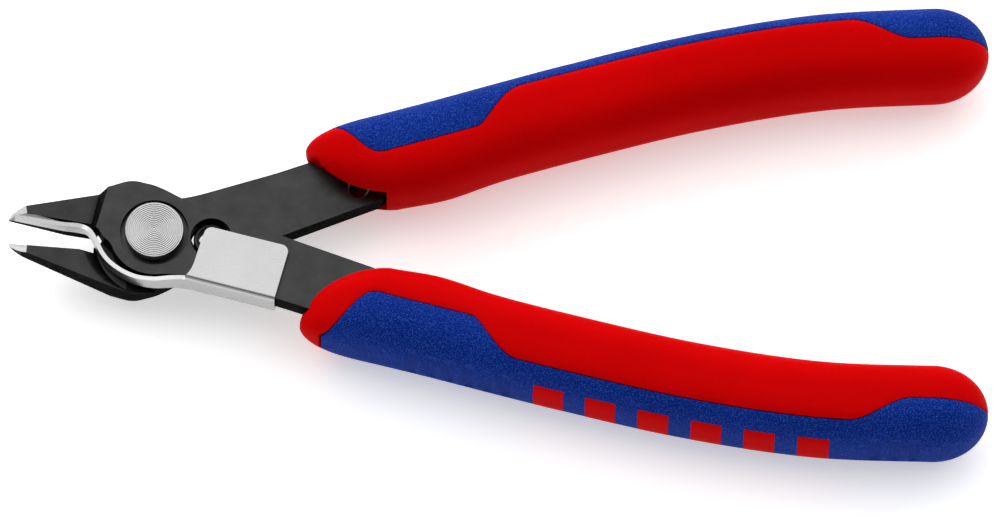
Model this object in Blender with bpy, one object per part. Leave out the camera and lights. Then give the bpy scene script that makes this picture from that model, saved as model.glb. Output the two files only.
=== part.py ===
"""Flush cutter for electronics work, 125 mm long when closed.

Two lapped steel levers turn on a bolt, a double torsion spring opens them, a bent sheet clip
on the front lever catches the cut lead, and each tang sits in a two-component grip.

Design frame, in millimetres: origin on the pivot axis at the lap plane between the levers,
+X to the handles, +Y to the rear lever's handle, +Z to the bolt head. The part's own origin
is on the pivot axis at the outer face of the nut, LAP_HEIGHT below that plane.
"""

import math

import bmesh
import bpy
import numpy as np
from mathutils import Vector
from mathutils.geometry import interpolate_bezier

MM = 0.001

# Levers
PLATE = 3.0                 # thickness of each lever at the lap
LAP_GAP = 0.1               # each lever's face stands this far from the lap plane
LAP_HEIGHT = 3.9            # lap plane above the nut's outer face
BOSS_RADIUS = 5.65
HALF_OPENING = 4.7          # degrees between each cutting edge and the closing line
TIP_X = -18.5
KINK_X = -11.4              # the cutting edge ends here and the throat begins
FACET_START = (-16.15, 2.6, 4.5)        # a point on the inner end of the tip's ground facet
FACET_NORMAL = (-1.02, -0.215, 2.27)    # direction square to the facet
FLUSH_SLOPE = 0.5           # rise of the flush face towards the tip
FLUSH_START_X = -5.7        # where the flush face leaves the underside
TOP_SLOPE = 0.37
TOP_Z = 1.18                # height of the jaw's top face at TOP_X
TOP_X = -7.1
BEVEL_HEIGHT = 1.0          # height of the ground bevel above the cutting edge
JAW_CLEARANCE = 7.45        # below the lap the front jaw starts outside this radius
CONE_FOOT = 7.6             # above the lap the rear jaw rises outside this cone
STEP_LEAN = 0.58            # run of the step up to the front boss for each mm of its rise
REACH = 9.0                 # cutters extend at least this far from the lap plane

# Pivot
BORE_RADIUS = 2.3
SHANK_RADIUS = 2.0
HEAD_RADIUS = 3.7
HEAD_TOP = 4.1
SINK_RADIUS = 4.35
SINK_DEPTH = 0.9
NUT_GAP = 0.1
BOLT_CLEARANCE = 0.3

# Opening spring
POCKET = (7.2, -0.8)        # centre of the front lever's pocket
POCKET_RADIUS = 2.65
WIRE = 0.6
COIL_RADIUS = 1.95
COIL_TURNS = 3
COIL_START = 0.45           # height of the first turn's middle above the lap plane
COIL_PITCH = 0.66

# Lead catcher
SHEET = 0.55
SHEET_GAP = 0.1

# Grips
GRIP_SHIFT = 0.45           # the rear grip sits this much farther back, the front one forward
GRIP_HALF_WIDTH = 5.56
GRIP_HALF_HEIGHT = 6.5
GRIP_POWER = 2.8            # squareness of the grip's section
GRIP_END_X = 105.6
BODY_SAMPLES = 17            # points round the hard component of a section
PAD_SAMPLES = 15             # points round the soft component of a section
BLANK_TOP = 7.0              # height of a lever's blank above the lap plane
FACET_REACH = 6.0            # half size of the cutter that grinds a jaw's tip
GRIP_CAP = 7.0              # length over which the grip's rear end rounds off
NOSE_SECTIONS = 17
NOSE_TIP_X = 18.7
NOSE_CAP = 10.0             # length over which its nose rounds off
BULGE = 0.6                 # the inner side swells this much behind the nose
BULGE_X = 35.0
BULGE_LENGTH = 5.0
GRIP_LINE = [(20.0, 8.0), (36.0, 12.35), (52.0, 16.8), (68.0, 20.8), (84.0, 23.5), (100.0, 24.3)]
NOSE_INNER = [(30.3, 4.9), (25.2, 4.7), (19.6, 7.6), (18.7, 11.7)]
NOSE_OUTER = [(27.4, 15.78), (25.0, 15.1), (19.0, 13.9), (18.7, 11.7)]
PAD_THICKNESS = 1.2
PAD_SEAM = 0.3              # gap between the pad and the body around it
PAD_FIRST = 6               # the pad starts at this section
PAD_START_X = 21.3          # its front end widens from here
PAD_FULL_X = 27.9           # to its full width here
PAD_TIP_RATIO = 0.97        # seam at the pad's front, as a part of the half width
PAD_EDGE = -0.8             # seam from the grip's line at both ends of the pad
PAD_RISE = 4.1              # the seam's step outwards behind the nose
PAD_FALL = 3.1              # and its step back before the rear end
TANG_HALF_WIDTH = 3.1
TANG_END_X = 80.0
TANG_HOLE = (25.8, 6.95)    # for the handle at y > 0
TANG_HOLE_RADIUS = 1.1
POCKET_GAP = 0.3            # around the tang in the grip
MOUTH = [(15.0, 11.4), (19.4, 10.7), (21.8, 9.2), (24.6, 8.3), (27.6, 8.0), (29.4, 7.0), (29.4, 2.0),
         (15.0, 2.0)]

STEEL_BLACK = ((0.03, 0.03, 0.032, 1.0), 0.38, 1.0)
STEEL_BRIGHT = ((0.6, 0.6, 0.61, 1.0), 0.28, 1.0)
SPRING_STEEL = ((0.12, 0.12, 0.13, 1.0), 0.35, 1.0)
RED_PLASTIC = ((0.72, 0.005, 0.008, 1.0), 0.45, 0.0)
BLUE_RUBBER = ((0.03, 0.06, 0.33, 1.0), 0.6, 0.0)


# ---------------------------------------------------------------- scene helpers

def clear_scene():
    for obj in list(bpy.data.objects):
        bpy.data.objects.remove(obj, do_unlink=True)


def make_material(name, finish):
    colour, roughness, metallic = finish
    material = bpy.data.materials.new(name)
    material.use_nodes = True
    shader = material.node_tree.nodes["Principled BSDF"]
    shader.inputs["Base Color"].default_value = colour
    shader.inputs["Roughness"].default_value = roughness
    shader.inputs["Metallic"].default_value = metallic
    return material


def make_frame(name, parent=None):
    """An empty on the pivot axis at the lap plane."""
    empty = bpy.data.objects.new(name, None)
    empty.location = (0, 0, 0) if parent else (0, 0, LAP_HEIGHT * MM)
    empty.parent = parent
    bpy.context.collection.objects.link(empty)
    return empty


def add_object(name, bm, frame, material=None, smooth_angle=30):
    """Turns a bmesh in millimetres into a named object under a frame."""
    bmesh.ops.scale(bm, vec=(MM, MM, MM), verts=bm.verts)
    bmesh.ops.recalc_face_normals(bm, faces=bm.faces)
    mesh = bpy.data.meshes.new(name)
    bm.to_mesh(mesh)
    bm.free()
    obj = bpy.data.objects.new(name, mesh)
    bpy.context.collection.objects.link(obj)
    obj.parent = frame
    if material:
        mesh.materials.append(material)
        mesh.shade_smooth()
        mesh.set_sharp_from_angle(angle=math.radians(smooth_angle))
    return obj


def combine(target, bm, operation):
    """Adds an exact Boolean with a hidden helper built from a bmesh."""
    index = len(target.modifiers) + 1
    helper = add_object(f"{target.name}_{operation.lower()}_{index}", bm, target.parent)
    helper.hide_render = True
    helper.display_type = "WIRE"
    modifier = target.modifiers.new(helper.name, "BOOLEAN")
    modifier.operation = operation
    modifier.solver = "EXACT"
    modifier.object = helper


# ---------------------------------------------------------------- shape helpers

def mirrored(points, side):
    """Plan points for the front lever (side 1) or the rear one (side -1)."""
    return [(x, side * y) for x, y in points]


def arc(centre, radius, start, end, steps):
    angles = np.radians(np.linspace(start, end, steps + 1))
    return [(centre[0] + radius * math.cos(a), centre[1] + radius * math.sin(a)) for a in angles]


def loft(rings):
    """Joins rings of equal length into a tube with filled ends."""
    bm = bmesh.new()
    loops = [[bm.verts.new(p) for p in ring] for ring in rings]
    count = len(loops[0])
    for near, far in zip(loops, loops[1:]):
        for k in range(count):
            j = (k + 1) % count
            bm.faces.new((near[k], near[j], far[j], far[k]))
    bm.faces.new(loops[0][::-1])
    bm.faces.new(loops[-1])
    return bm


def prism(outline, bottom, top):
    return loft([[(x, y, z) for x, y in outline] for z in (bottom, top)])


def disc(radius, bottom, top, centre=(0.0, 0.0), steps=48):
    return prism(arc(centre, radius, 0, 360 * (1 - 1 / steps), steps - 1), bottom, top)


def turned(profile, steps=48):
    """A solid of revolution about Z from a list of (radius, z), bottom to top."""
    angles = np.radians(np.arange(steps) * 360 / steps)
    return loft([[(r * math.cos(a), r * math.sin(a), z) for a in angles] for r, z in profile])


def hull(points):
    bm = bmesh.new()
    for point in points:
        bm.verts.new(point)
    bmesh.ops.convex_hull(bm, input=bm.verts)
    return bm


# ---------------------------------------------------------------- levers

def edge_y(x):
    """Distance of the cutting edge from the middle plane of the open tool."""
    return -x * math.tan(math.radians(HALF_OPENING))


def flush_z(x):
    return -PLATE + FLUSH_SLOPE * (FLUSH_START_X - x)


def top_z(x):
    return TOP_Z + TOP_SLOPE * (TOP_X - x)


def grip_line_y(x):
    """Smooth cubic through the grip's line; straight beyond its ends."""
    xs, ys = zip(*GRIP_LINE)
    slopes = np.gradient(ys, xs)
    x_in = min(max(x, xs[0]), xs[-1])
    k = min(int(np.searchsorted(xs, x_in, side="right")) - 1, len(xs) - 2)
    width = xs[k + 1] - xs[k]
    t = (x_in - xs[k]) / width
    y = ((1 + 2 * t) * (1 - t) ** 2 * ys[k] + t * (1 - t) ** 2 * width * slopes[k]
         + t * t * (3 - 2 * t) * ys[k + 1] + t * t * (t - 1) * width * slopes[k + 1])
    end_slope = slopes[0] if x < xs[0] else slopes[-1]
    return y + (x - x_in) * end_slope


def grip_normal(x):
    """Unit vector across the grip, pointing away from the other handle."""
    slope = grip_line_y(x + 0.5) - grip_line_y(x - 0.5)
    length = math.hypot(1.0, slope)
    return (-slope / length, 1.0 / length)


def grip_side(x, offset):
    """A point beside the grip's line, in the plane where both grips have y > 0."""
    nx, ny = grip_normal(x)
    return (x + offset * nx, grip_line_y(x) + offset * ny)


def tang_outline(grow=0.0):
    """The tang from the grip's mouth to its buried end, for the handle at y > 0."""
    half = TANG_HALF_WIDTH + grow
    stations = [34.0, 42.0, 50.0, 58.0, 66.0, 74.0, TANG_END_X]
    outer = [grip_side(x, half) for x in stations]
    inner = [grip_side(x, -half) for x in reversed(stations)]
    bend = [(30.3 + grow, 6.9 - grow), (28.3 + grow, 5.25 - grow)]
    cx, cy = TANG_END_X, grip_line_y(TANG_END_X)
    lean = math.degrees(math.atan2(grip_normal(cx)[1], grip_normal(cx)[0]))
    cap = arc((cx, cy), half, lean - 15, lean - 165, 6)
    return outer + cap + inner + bend


def lever_outline(side):
    """Plan of the front lever (side 1): jaw at y > 0, boss, handle at y < 0."""
    mouth = [(TIP_X, edge_y(TIP_X)), (KINK_X, edge_y(KINK_X)), (-8.6, 0.95), (-7.3, 0.9),
             (-6.7, 0.0), (-5.8, -1.1)]
    boss = arc((0, 0), BOSS_RADIUS, 196, 270, 14)
    lower = [(2.2, -5.66), (4.0, -5.85), (8.0, -6.85), (15.5, -9.1), (19.0, -10.3)]
    tang = [(x, -y) for x, y in tang_outline()]
    upper = [(6.4, 3.1), (4.6, 3.95), (2.6, 5.0), (0.8, 5.9), (-0.9, 6.64)]
    jaw_back = arc((-2.75, 3.0), 4.0, 77, 105.5, 5) + [(-7.1, 5.87), (-16.2, 3.15), (-17.4, 2.7),
                                                      (-18.15, 2.15)]
    return mirrored(mouth + boss + lower + tang + upper + jaw_back, side)


def bevel_cutter(side):
    """Grinds the jaw's inner face back above the cutting edge."""
    points = []
    for x in (TIP_X - 1.0, -7.75):
        edge, base, roof = edge_y(x), flush_z(x), BLANK_TOP + 0.5
        setback = 1.2 - 0.038 * (-7.3 - x)
        section = [(edge, base), (edge + 0.9 * setback, base + BEVEL_HEIGHT),
                   (edge + setback, roof), (edge - 4.0, roof), (edge - 4.0, base - 0.6)]
        points += [(x, side * y, z) for y, z in section]
    return hull(points)


def flush_cutter():
    """Removes all below the flush face that the two jaws share."""
    far, near = TIP_X - 2.0, FLUSH_START_X
    section = [(far, flush_z(far)), (near, flush_z(near)), (near, -9.0), (far, -9.0)]
    return hull([(x, y, z) for x, z in section for y in (-12.0, 12.0)])


def jaw_top_cutter(side):
    """Lowers the jaw's top face and leaves the sloping step up to the front boss."""
    far = TIP_X - 2.0
    step_low = {6.9: -6.75, -3.0: -9.1}     # y: x along the foot of the step
    points = []
    for y, x in step_low.items():
        foot, head = x, x + (PLATE + 1.0 - top_z(x)) * STEP_LEAN
        points += [(foot, side * y, top_z(foot)), (head, side * y, PLATE + 1.0),
                   (head, side * y, 9.0), (far, side * y, 9.0), (far, side * y, top_z(far))]
    return hull(points)


def tip_facet_cutter(side):
    """Grinds the top of the jaw's tip down to a flat facet."""
    start = Vector((FACET_START[0], side * FACET_START[1], FACET_START[2]))
    normal = Vector((FACET_NORMAL[0], side * FACET_NORMAL[1], FACET_NORMAL[2])).normalized()
    across = normal.cross(Vector((1, 0, 0))).normalized()
    along = across.cross(normal)
    corners = [start + a * across + b * along
               for a in (-FACET_REACH, FACET_REACH) for b in (-FACET_REACH, FACET_REACH)]
    return hull(corners + [corner + FACET_REACH * normal for corner in corners])


def lever_top_cutter():
    """Planes the front lever's boss and tang to the plate's thickness."""
    return hull([(x, y, z) for x in (-9.6, 90.0) for y in (-40.0, 40.0) for z in (PLATE, 9.0)])


def tang_hole(side):
    return disc(TANG_HOLE_RADIUS, -REACH, REACH, (TANG_HOLE[0], -side * TANG_HOLE[1]), 20)


def build_front_lever(frame, material):
    lever = add_object("front_lever", prism(lever_outline(1), -PLATE, BLANK_TOP), frame, material)
    handle_half = [(-1.0, -40.0), (90.0, -40.0), (90.0, 20.0), (-1.0, 20.0)]
    cutters = [jaw_top_cutter(1),
               lever_top_cutter(),
               tip_facet_cutter(1),
               flush_cutter(),
               bevel_cutter(1),
               disc(JAW_CLEARANCE, -REACH, LAP_GAP, steps=64),
               prism(handle_half, -REACH - 0.5, LAP_GAP),
               disc(BORE_RADIUS, -REACH, REACH),
               disc(SINK_RADIUS, PLATE - SINK_DEPTH, REACH),
               disc(POCKET_RADIUS, -REACH, REACH, POCKET, 32),
               tang_hole(1)]
    for cutter in cutters:
        combine(lever, cutter, "DIFFERENCE")
    return lever


def build_rear_lever(frame, material):
    """The mirrored lever below the lap, whose jaw rises in front of the front boss."""
    lever = add_object("rear_lever", prism(lever_outline(-1), -PLATE, BLANK_TOP), frame, material)
    roof = hull([(x, y, z + dz) for x, z in ((TIP_X - 2.0, top_z(TIP_X - 2.0)), (0.0, top_z(0.0)))
                 for y in (-12.0, 12.0) for dz in (0.0, REACH)])
    cone = [(CONE_FOOT - 0.1, -LAP_GAP), (CONE_FOOT + 8.0, 8.0)]
    handle_half = [(-3.0, -20.0), (90.0, -20.0), (90.0, 40.0), (-3.0, 40.0)]
    cutters = [roof,
               tip_facet_cutter(-1),
               flush_cutter(),
               bevel_cutter(-1),
               turned(cone, 64),
               prism(handle_half, -LAP_GAP, REACH + 0.5),
               disc(BORE_RADIUS, -REACH, REACH),
               disc(POCKET_RADIUS, -REACH, REACH, (POCKET[0], -POCKET[1]), 32),
               tang_hole(-1)]
    for cutter in cutters:
        combine(lever, cutter, "DIFFERENCE")
    return lever


# ---------------------------------------------------------------- pivot and spring

def build_pivot_bolt(frame, material):
    """Flat round head, sunk in the front lever, on a shank that ends level with the nut."""
    head_foot = PLATE - SINK_DEPTH + 0.15
    profile = [(SHANK_RADIUS, -LAP_HEIGHT), (SHANK_RADIUS, head_foot), (HEAD_RADIUS, head_foot),
               (HEAD_RADIUS, HEAD_TOP - 0.12), (HEAD_RADIUS - 0.12, HEAD_TOP)]
    return add_object("pivot_bolt", turned(profile), frame, material)


def build_pivot_nut(frame, material):
    """Round nut with two spanner flats, on the underside of the rear lever."""
    top = -PLATE - NUT_GAP
    outline = arc((0, 0), HEAD_RADIUS, -58, 58, 14) + arc((0, 0), HEAD_RADIUS, 122, 238, 14)
    nut = add_object("pivot_nut", prism(outline, -LAP_HEIGHT, top), frame, material)
    combine(nut, disc(SHANK_RADIUS + BOLT_CLEARANCE, -REACH, 0.0), "DIFFERENCE")
    return nut


def spring_route():
    """One wire: a coil in each lever's pocket, with a bridge between them at the lap."""
    steps = 14
    coils = {1: [], -1: []}
    for side, coil in coils.items():
        for k in range(COIL_TURNS * steps + 1):
            angle = 2 * math.pi * k / steps
            coil.append((POCKET[0] + COIL_RADIUS * math.cos(angle),
                         side * (POCKET[1] + COIL_RADIUS * math.sin(angle)),
                         side * (COIL_START + COIL_PITCH * k / steps)))
    return coils[1][::-1] + coils[-1]


def build_spring(frame, material):
    curve = bpy.data.curves.new("opening_spring", "CURVE")
    curve.dimensions = "3D"
    curve.bevel_depth = WIRE / 2 * MM
    curve.bevel_resolution = 2
    curve.use_fill_caps = True
    route = spring_route()
    spline = curve.splines.new("POLY")
    spline.points.add(len(route) - 1)
    for point, place in zip(spline.points, route):
        point.co = (place[0] * MM, place[1] * MM, place[2] * MM, 1.0)
    curve.materials.append(material)
    obj = bpy.data.objects.new("opening_spring", curve)
    bpy.context.collection.objects.link(obj)
    obj.parent = frame
    return obj


# ---------------------------------------------------------------- lead catcher

def catcher_arm():
    """The strip on edge that leads from the clip round the boss and along the jaw."""
    route = [(6.5, -6.9), (4.3, -6.35), (2.2, -6.12), (0.0, -6.2), (-2.0, -5.93), (-3.5, -5.33),
             (-4.8, -4.5), (-5.8, -3.6), (-6.55, -2.6), (-7.1, -1.5), (-7.6, -0.4), (-8.35, 0.7),
             (-9.6, 1.25), (-11.5, 1.2), (-13.5, 1.28), (-15.6, 1.38), (-17.6, 1.48)]
    bottoms = np.interp([x for x, _ in route], [-17.6, -9.6, -8.35, -7.1, -2.0, 4.3],
                        [flush_z(-17.6) + 1.25, flush_z(-9.6) + 1.45, 0.75, 0.5, 0.35, -0.3])
    tops = np.interp([x for x, _ in route], [-17.6, -9.6, -7.1, 2.2, 6.5],
                     [5.15, 2.4, 2.45, 2.95, 3.1])
    rings = []
    for k, (x, y) in enumerate(route):
        ahead, behind = route[min(k + 1, len(route) - 1)], route[max(k - 1, 0)]
        along = Vector((ahead[0] - behind[0], ahead[1] - behind[1])).normalized()
        dx, dy = -along.y * SHEET / 2, along.x * SHEET / 2
        rings.append([(x + dx, y + dy, bottoms[k]), (x - dx, y - dy, bottoms[k]),
                      (x - dx, y - dy, tops[k]), (x + dx, y + dy, tops[k])])
    return loft(rings)


def build_lead_catcher(frame, material):
    """Sheet clip over the front lever: top plate, fold, lip underneath and the arm."""
    low, high = PLATE + SHEET_GAP, PLATE + SHEET_GAP + SHEET
    plate = ([(4.3, -6.35), (5.1, -4.6)] + arc((7.3, -0.6), 0.9, 165, 78, 5)
             + arc((15.9, -2.95), 0.9, 74, -12, 5) + [(14.95, -9.25)])
    catcher = add_object("lead_catcher", prism(plate, low, high), frame, material)
    flange = [(4.5, -6.13), (8.0, -7.02), (15.05, -9.13), (14.9, -9.68), (7.85, -7.57),
              (4.4, -6.68)]
    combine(catcher, prism(flange, -0.7, high - 0.02), "UNION")
    lip = [(4.9, -4.95), (8.2, -5.6), (14.9, -7.5), (14.95, -9.4), (7.9, -7.3), (4.45, -6.45)]
    combine(catcher, prism(lip, -0.68, -0.13), "UNION")
    combine(catcher, catcher_arm(), "UNION")
    return catcher


# ---------------------------------------------------------------- grips

def smooth_step(x, start, end):
    t = min(max((x - start) / (end - start), 0.0), 1.0)
    return t * t * (3 - 2 * t)


def seam_offset(x):
    """Where the pad's edge runs on the top and bottom faces, outwards from the grip's line."""
    rise = smooth_step(x, 40.5, 46.5)
    fall = smooth_step(x, 88.5, 95.0)
    return PAD_EDGE + PAD_RISE * rise - PAD_FALL * fall


def nose_ratio(x):
    """Seam across the nose: the pad's front end narrows towards the outer side."""
    full = PAD_EDGE / GRIP_HALF_WIDTH
    return PAD_TIP_RATIO - (PAD_TIP_RATIO - full) * smooth_step(x, PAD_START_X, PAD_FULL_X)


def grip_stations():
    """Sections from nose to end: (middle, half width vector, half height, seam offset)."""
    stations = []
    inner = interpolate_bezier(*[Vector(p) for p in NOSE_INNER], NOSE_SECTIONS)
    outer = interpolate_bezier(*[Vector(p) for p in NOSE_OUTER], NOSE_SECTIONS)
    for a, b in list(zip(inner, outer))[NOSE_SECTIONS - 2::-1]:
        middle, half = (a + b) / 2, (b - a) / 2
        depth = min((middle.x - NOSE_TIP_X) / NOSE_CAP, 1.0)
        height = GRIP_HALF_HEIGHT * math.sqrt(1 - (1 - depth) ** 2)
        stations.append((middle, half, height, nose_ratio(middle.x) * half.length))
    body = [29.6, 32.0, 35.0, 38.0, 41.0, 43.0, 45.0, 49.0, 55.0, 61.0, 67.0, 73.0, 79.0, 85.0, 89.0, 92.0,
            95.0, 98.6]
    cap = [GRIP_END_X - GRIP_CAP * (1 - math.sin(math.radians(a))) for a in (22, 40, 54, 66, 76, 84)]
    for x in body + cap:
        reach = max((x - GRIP_END_X + GRIP_CAP) / GRIP_CAP, 0.0)
        scale = math.sqrt(1 - reach * reach)
        normal = Vector(grip_normal(x))
        swell = BULGE / 2 * math.exp(-((x - BULGE_X) / BULGE_LENGTH) ** 2)
        middle = Vector((x, grip_line_y(x))) - normal * swell
        half = normal * (GRIP_HALF_WIDTH + swell) * scale
        offset = (seam_offset(x) + swell) * scale
        stations.append((middle, half, GRIP_HALF_HEIGHT * scale, offset))
    return stations


def section_point(station, angle):
    """A point on the rounded-square section; angle 0 is the side away from the other grip."""
    middle, half, height, _ = station
    c, s = math.cos(angle), math.sin(angle)
    across = math.copysign(abs(c) ** (2 / GRIP_POWER), c)
    up = math.copysign(abs(s) ** (2 / GRIP_POWER), s)
    return Vector((middle.x + half.x * across, middle.y + half.y * across, height * up))


def seam_angle(station):
    _, half, _, offset = station
    ratio = offset / half.length
    return math.acos(math.copysign(abs(ratio) ** (GRIP_POWER / 2), ratio))


def inward(stations, k, angle, depth):
    """The section point pushed into the grip along the surface's own normal."""
    near, far = stations[max(k - 1, 0)], stations[min(k + 1, len(stations) - 1)]
    along = section_point(far, angle) - section_point(near, angle)
    around = section_point(stations[k], angle + 0.02) - section_point(stations[k], angle - 0.02)
    return section_point(stations[k], angle) + depth * along.cross(around).normalized()


def flip(points, side):
    return [(p.x + side * GRIP_SHIFT, side * p.y, p.z) for p in points]


def build_grip_body(name, side, frame, material):
    """Hard component: the whole section with a seat for the pad and a pocket for the tang."""
    stations = grip_stations()
    seam = PAD_SEAM / GRIP_HALF_WIDTH
    seat_margin = seam / 2
    rings = []
    for k, station in enumerate(stations):
        edge = seam_angle(station) + seam
        red = np.linspace(edge, 2 * math.pi - edge, BODY_SAMPLES)
        blue = np.linspace(seat_margin - edge, edge - seat_margin, PAD_SAMPLES)
        ring = [section_point(station, a) for a in red]
        if k < PAD_FIRST:
            rings.append(flip(ring + [section_point(station, a) for a in blue], side))
        if k == PAD_FIRST - 1:
            middle, half, _, _ = station
            shrink = (PAD_THICKNESS + PAD_SEAM) / half.length
            step = [section_point(station, a).lerp(middle.to_3d(), shrink) for a in blue]
            rings.append(flip(ring + step, side))
        if k >= PAD_FIRST:
            seat = [inward(stations, k, a, PAD_THICKNESS + PAD_SEAM) for a in blue]
            rings.append(flip(ring + seat, side))
    body = add_object(name, loft(rings), frame, material)
    if side == 1:
        low, high = -PLATE - POCKET_GAP, POCKET_GAP - LAP_GAP
    else:
        low, high = LAP_GAP - POCKET_GAP, PLATE + POCKET_GAP
    pocket = [(16.0, 9.0), (19.0, 10.4)] + tang_outline(POCKET_GAP) + [(20.0, 1.0)]
    combine(body, prism(mirrored(pocket, side), low, high), "DIFFERENCE")
    mouth = prism(mirrored(MOUTH, side), -PLATE - POCKET_GAP, PLATE + POCKET_GAP)
    combine(body, mouth, "DIFFERENCE")
    return body


def build_grip_pad(name, side, frame, material):
    """Soft component: a curved shell in the body's seat, from the nose round the rear end."""
    stations = grip_stations()
    rings = []
    for k in range(PAD_FIRST, len(stations)):
        edge = seam_angle(stations[k]) - PAD_SEAM / GRIP_HALF_WIDTH / 2
        angles = np.linspace(-edge, edge, PAD_SAMPLES)
        outer = [section_point(stations[k], a) for a in angles]
        inner = [inward(stations, k, a, PAD_THICKNESS) for a in angles[::-1]]
        rings.append(flip(outer + inner, side))
    return add_object(name, loft(rings), frame, material)


# ---------------------------------------------------------------- assembly

def build_cutter():
    clear_scene()
    front = make_frame("front_frame")
    rear = make_frame("rear_on_pivot_axis", front)
    black = make_material("burnished_steel", STEEL_BLACK)
    bright = make_material("bright_steel", STEEL_BRIGHT)
    wire = make_material("spring_steel", SPRING_STEEL)
    red = make_material("hard_grip", RED_PLASTIC)
    blue = make_material("soft_grip", BLUE_RUBBER)

    build_front_lever(front, black)
    build_rear_lever(rear, black)
    build_pivot_bolt(front, bright)
    build_pivot_nut(front, black)
    build_spring(front, wire)
    build_lead_catcher(front, bright)
    build_grip_body("front_grip_body", -1, front, red)
    build_grip_pad("front_grip_pad", -1, front, blue)
    build_grip_body("rear_grip_body", 1, rear, red)
    build_grip_pad("rear_grip_pad", 1, rear, blue)


build_cutter()
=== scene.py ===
"""Looks of the flush cutter: finished meshes, materials, studio light and camera."""

import math

import bmesh
import bpy
import numpy as np
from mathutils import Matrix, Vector
from mathutils.geometry import interpolate_bezier


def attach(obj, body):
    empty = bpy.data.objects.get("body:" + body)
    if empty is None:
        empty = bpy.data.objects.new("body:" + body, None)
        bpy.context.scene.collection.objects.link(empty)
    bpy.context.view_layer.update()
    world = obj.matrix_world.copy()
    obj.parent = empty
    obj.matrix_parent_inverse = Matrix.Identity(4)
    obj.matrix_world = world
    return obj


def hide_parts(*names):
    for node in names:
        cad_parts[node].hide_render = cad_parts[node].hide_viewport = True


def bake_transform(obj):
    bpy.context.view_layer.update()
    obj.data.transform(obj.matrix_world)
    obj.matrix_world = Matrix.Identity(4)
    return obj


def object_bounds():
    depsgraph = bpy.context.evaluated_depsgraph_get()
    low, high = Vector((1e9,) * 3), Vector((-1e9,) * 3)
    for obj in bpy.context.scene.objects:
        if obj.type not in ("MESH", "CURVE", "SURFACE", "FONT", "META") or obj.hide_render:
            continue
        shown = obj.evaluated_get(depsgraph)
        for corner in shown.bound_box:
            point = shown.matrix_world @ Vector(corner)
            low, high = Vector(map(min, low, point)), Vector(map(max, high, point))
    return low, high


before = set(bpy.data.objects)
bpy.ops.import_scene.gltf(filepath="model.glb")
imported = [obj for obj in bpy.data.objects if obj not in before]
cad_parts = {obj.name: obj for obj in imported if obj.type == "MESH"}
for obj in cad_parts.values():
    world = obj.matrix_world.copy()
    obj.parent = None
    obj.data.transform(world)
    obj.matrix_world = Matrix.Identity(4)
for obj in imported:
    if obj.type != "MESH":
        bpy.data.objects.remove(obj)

CAD_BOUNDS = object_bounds()

MM = 0.001
LAP_HEIGHT = 3.9             # the lap plane between the levers, above the frame's origin

# Levers, in millimetres from the pivot axis at the lap plane
PLATE = 3.0
LAP_GAP = 0.1
BOSS_RADIUS = 5.65
HALF_OPENING = 4.7
TIP_X = -18.5
KINK_X = -11.4
FACET_START = (-16.15, 2.6, 4.5)
FACET_SLOPE = (-1.02, -0.215, 2.27)
FLUSH_SLOPE = 0.5
FLUSH_START_X = -5.7
TOP_SLOPE = 0.37
TOP_Z = 1.18
TOP_X = -7.1
BEVEL_HEIGHT = 1.0
JAW_CLEARANCE = 7.45
CONE_FOOT = 7.6
BLANK_TOP = 7.0              # height of a lever's blank above the lap plane
REACH = 9.0                  # cutters reach this far above and below the lap plane
FACET_WIDTH = 4.0            # half width of the cutter that grinds a jaw's tip
FACET_REACH = 6.0            # half length and height of the same cutter
EDGE_BREAK = 0.12            # deburring of the steel parts
SHEET_BREAK = 0.09           # deburring of the sheet clip

# Pivot
BORE_RADIUS = 2.3
SHANK_RADIUS = 2.0
HEAD_RADIUS = 3.7
HEAD_TOP = 4.1
SINK_RADIUS = 4.35
SINK_DEPTH = 0.9

# Opening spring
POCKET = (7.2, -0.8)
POCKET_RADIUS = 2.65
WIRE = 0.6
COIL_RADIUS = 1.95
COIL_TURNS = 3
COIL_STEPS = 40
COIL_START = 0.45            # the first turn's height from the lap plane
COIL_PITCH = 0.66
WIRE_SIDES = 14

# Lead catcher
SHEET = 0.55
SHEET_GAP = 0.05
FOLD_START = (4.3, -5.93)
FOLD_END = (15.3, -9.0)

# Grips
GRIP_HALF_WIDTH = 5.56
GRIP_HALF_HEIGHT = 6.5
GRIP_POWER = 2.8
GRIP_END_X = 105.6
GRIP_CAP = 7.0
GRIP_SMOOTH_ANGLE = 40
NOSE_CAP = 10.0
NOSE_SECTIONS = 34
NOSE_TIP_X = 18.7
GRIP_LINE = [(20.0, 8.0), (36.0, 12.35), (52.0, 16.8), (68.0, 20.8), (84.0, 23.5), (100.0, 24.3)]
NOSE_INNER = [(30.3, 4.9), (25.2, 4.7), (19.6, 7.6), (18.7, 11.7)]
NOSE_OUTER = [(27.4, 15.78), (25.0, 15.1), (19.0, 13.9), (18.7, 11.7)]
BULGE = 0.6                 # the inner side swells this much behind the nose
BULGE_X = 35.0
PAD_THICKNESS = 1.2
PAD_FIRST = 13              # the pad starts at this section
SEAT_GAP = 0.06
BODY_SAMPLES = 56
SEAT_SAMPLES = 40
PAD_SAMPLES = 64
PAD_START_X = 21.3
PAD_FULL_X = 27.9
STEP_START = 40.3
STEP_END = 47.0
GRIP_SHIFT = 0.45           # the rear grip sits this much farther back, the front one forward
SEAM_GAP = 0.12
SEAM_DIP = 0.10             # both components dip this much along the seam
SEAM_LIMIT = 0.992          # the seam stays this far inside a section's outer side
MOUTH = [(15.0, 11.4), (19.4, 10.7), (21.8, 9.2), (24.6, 8.3), (27.6, 8.0), (29.4, 7.0), (29.4, 2.0),
         (15.0, 2.0)]
TANG_HALF_WIDTH = 3.1
TANG_START_X = 34.0
TANG_END_X = 80.0
TANG_STEP = 4.0
TANG_HOLE = (25.8, 6.95)
TANG_HOLE_RADIUS = 1.1
RIM_WIDTH = 0.7
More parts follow.
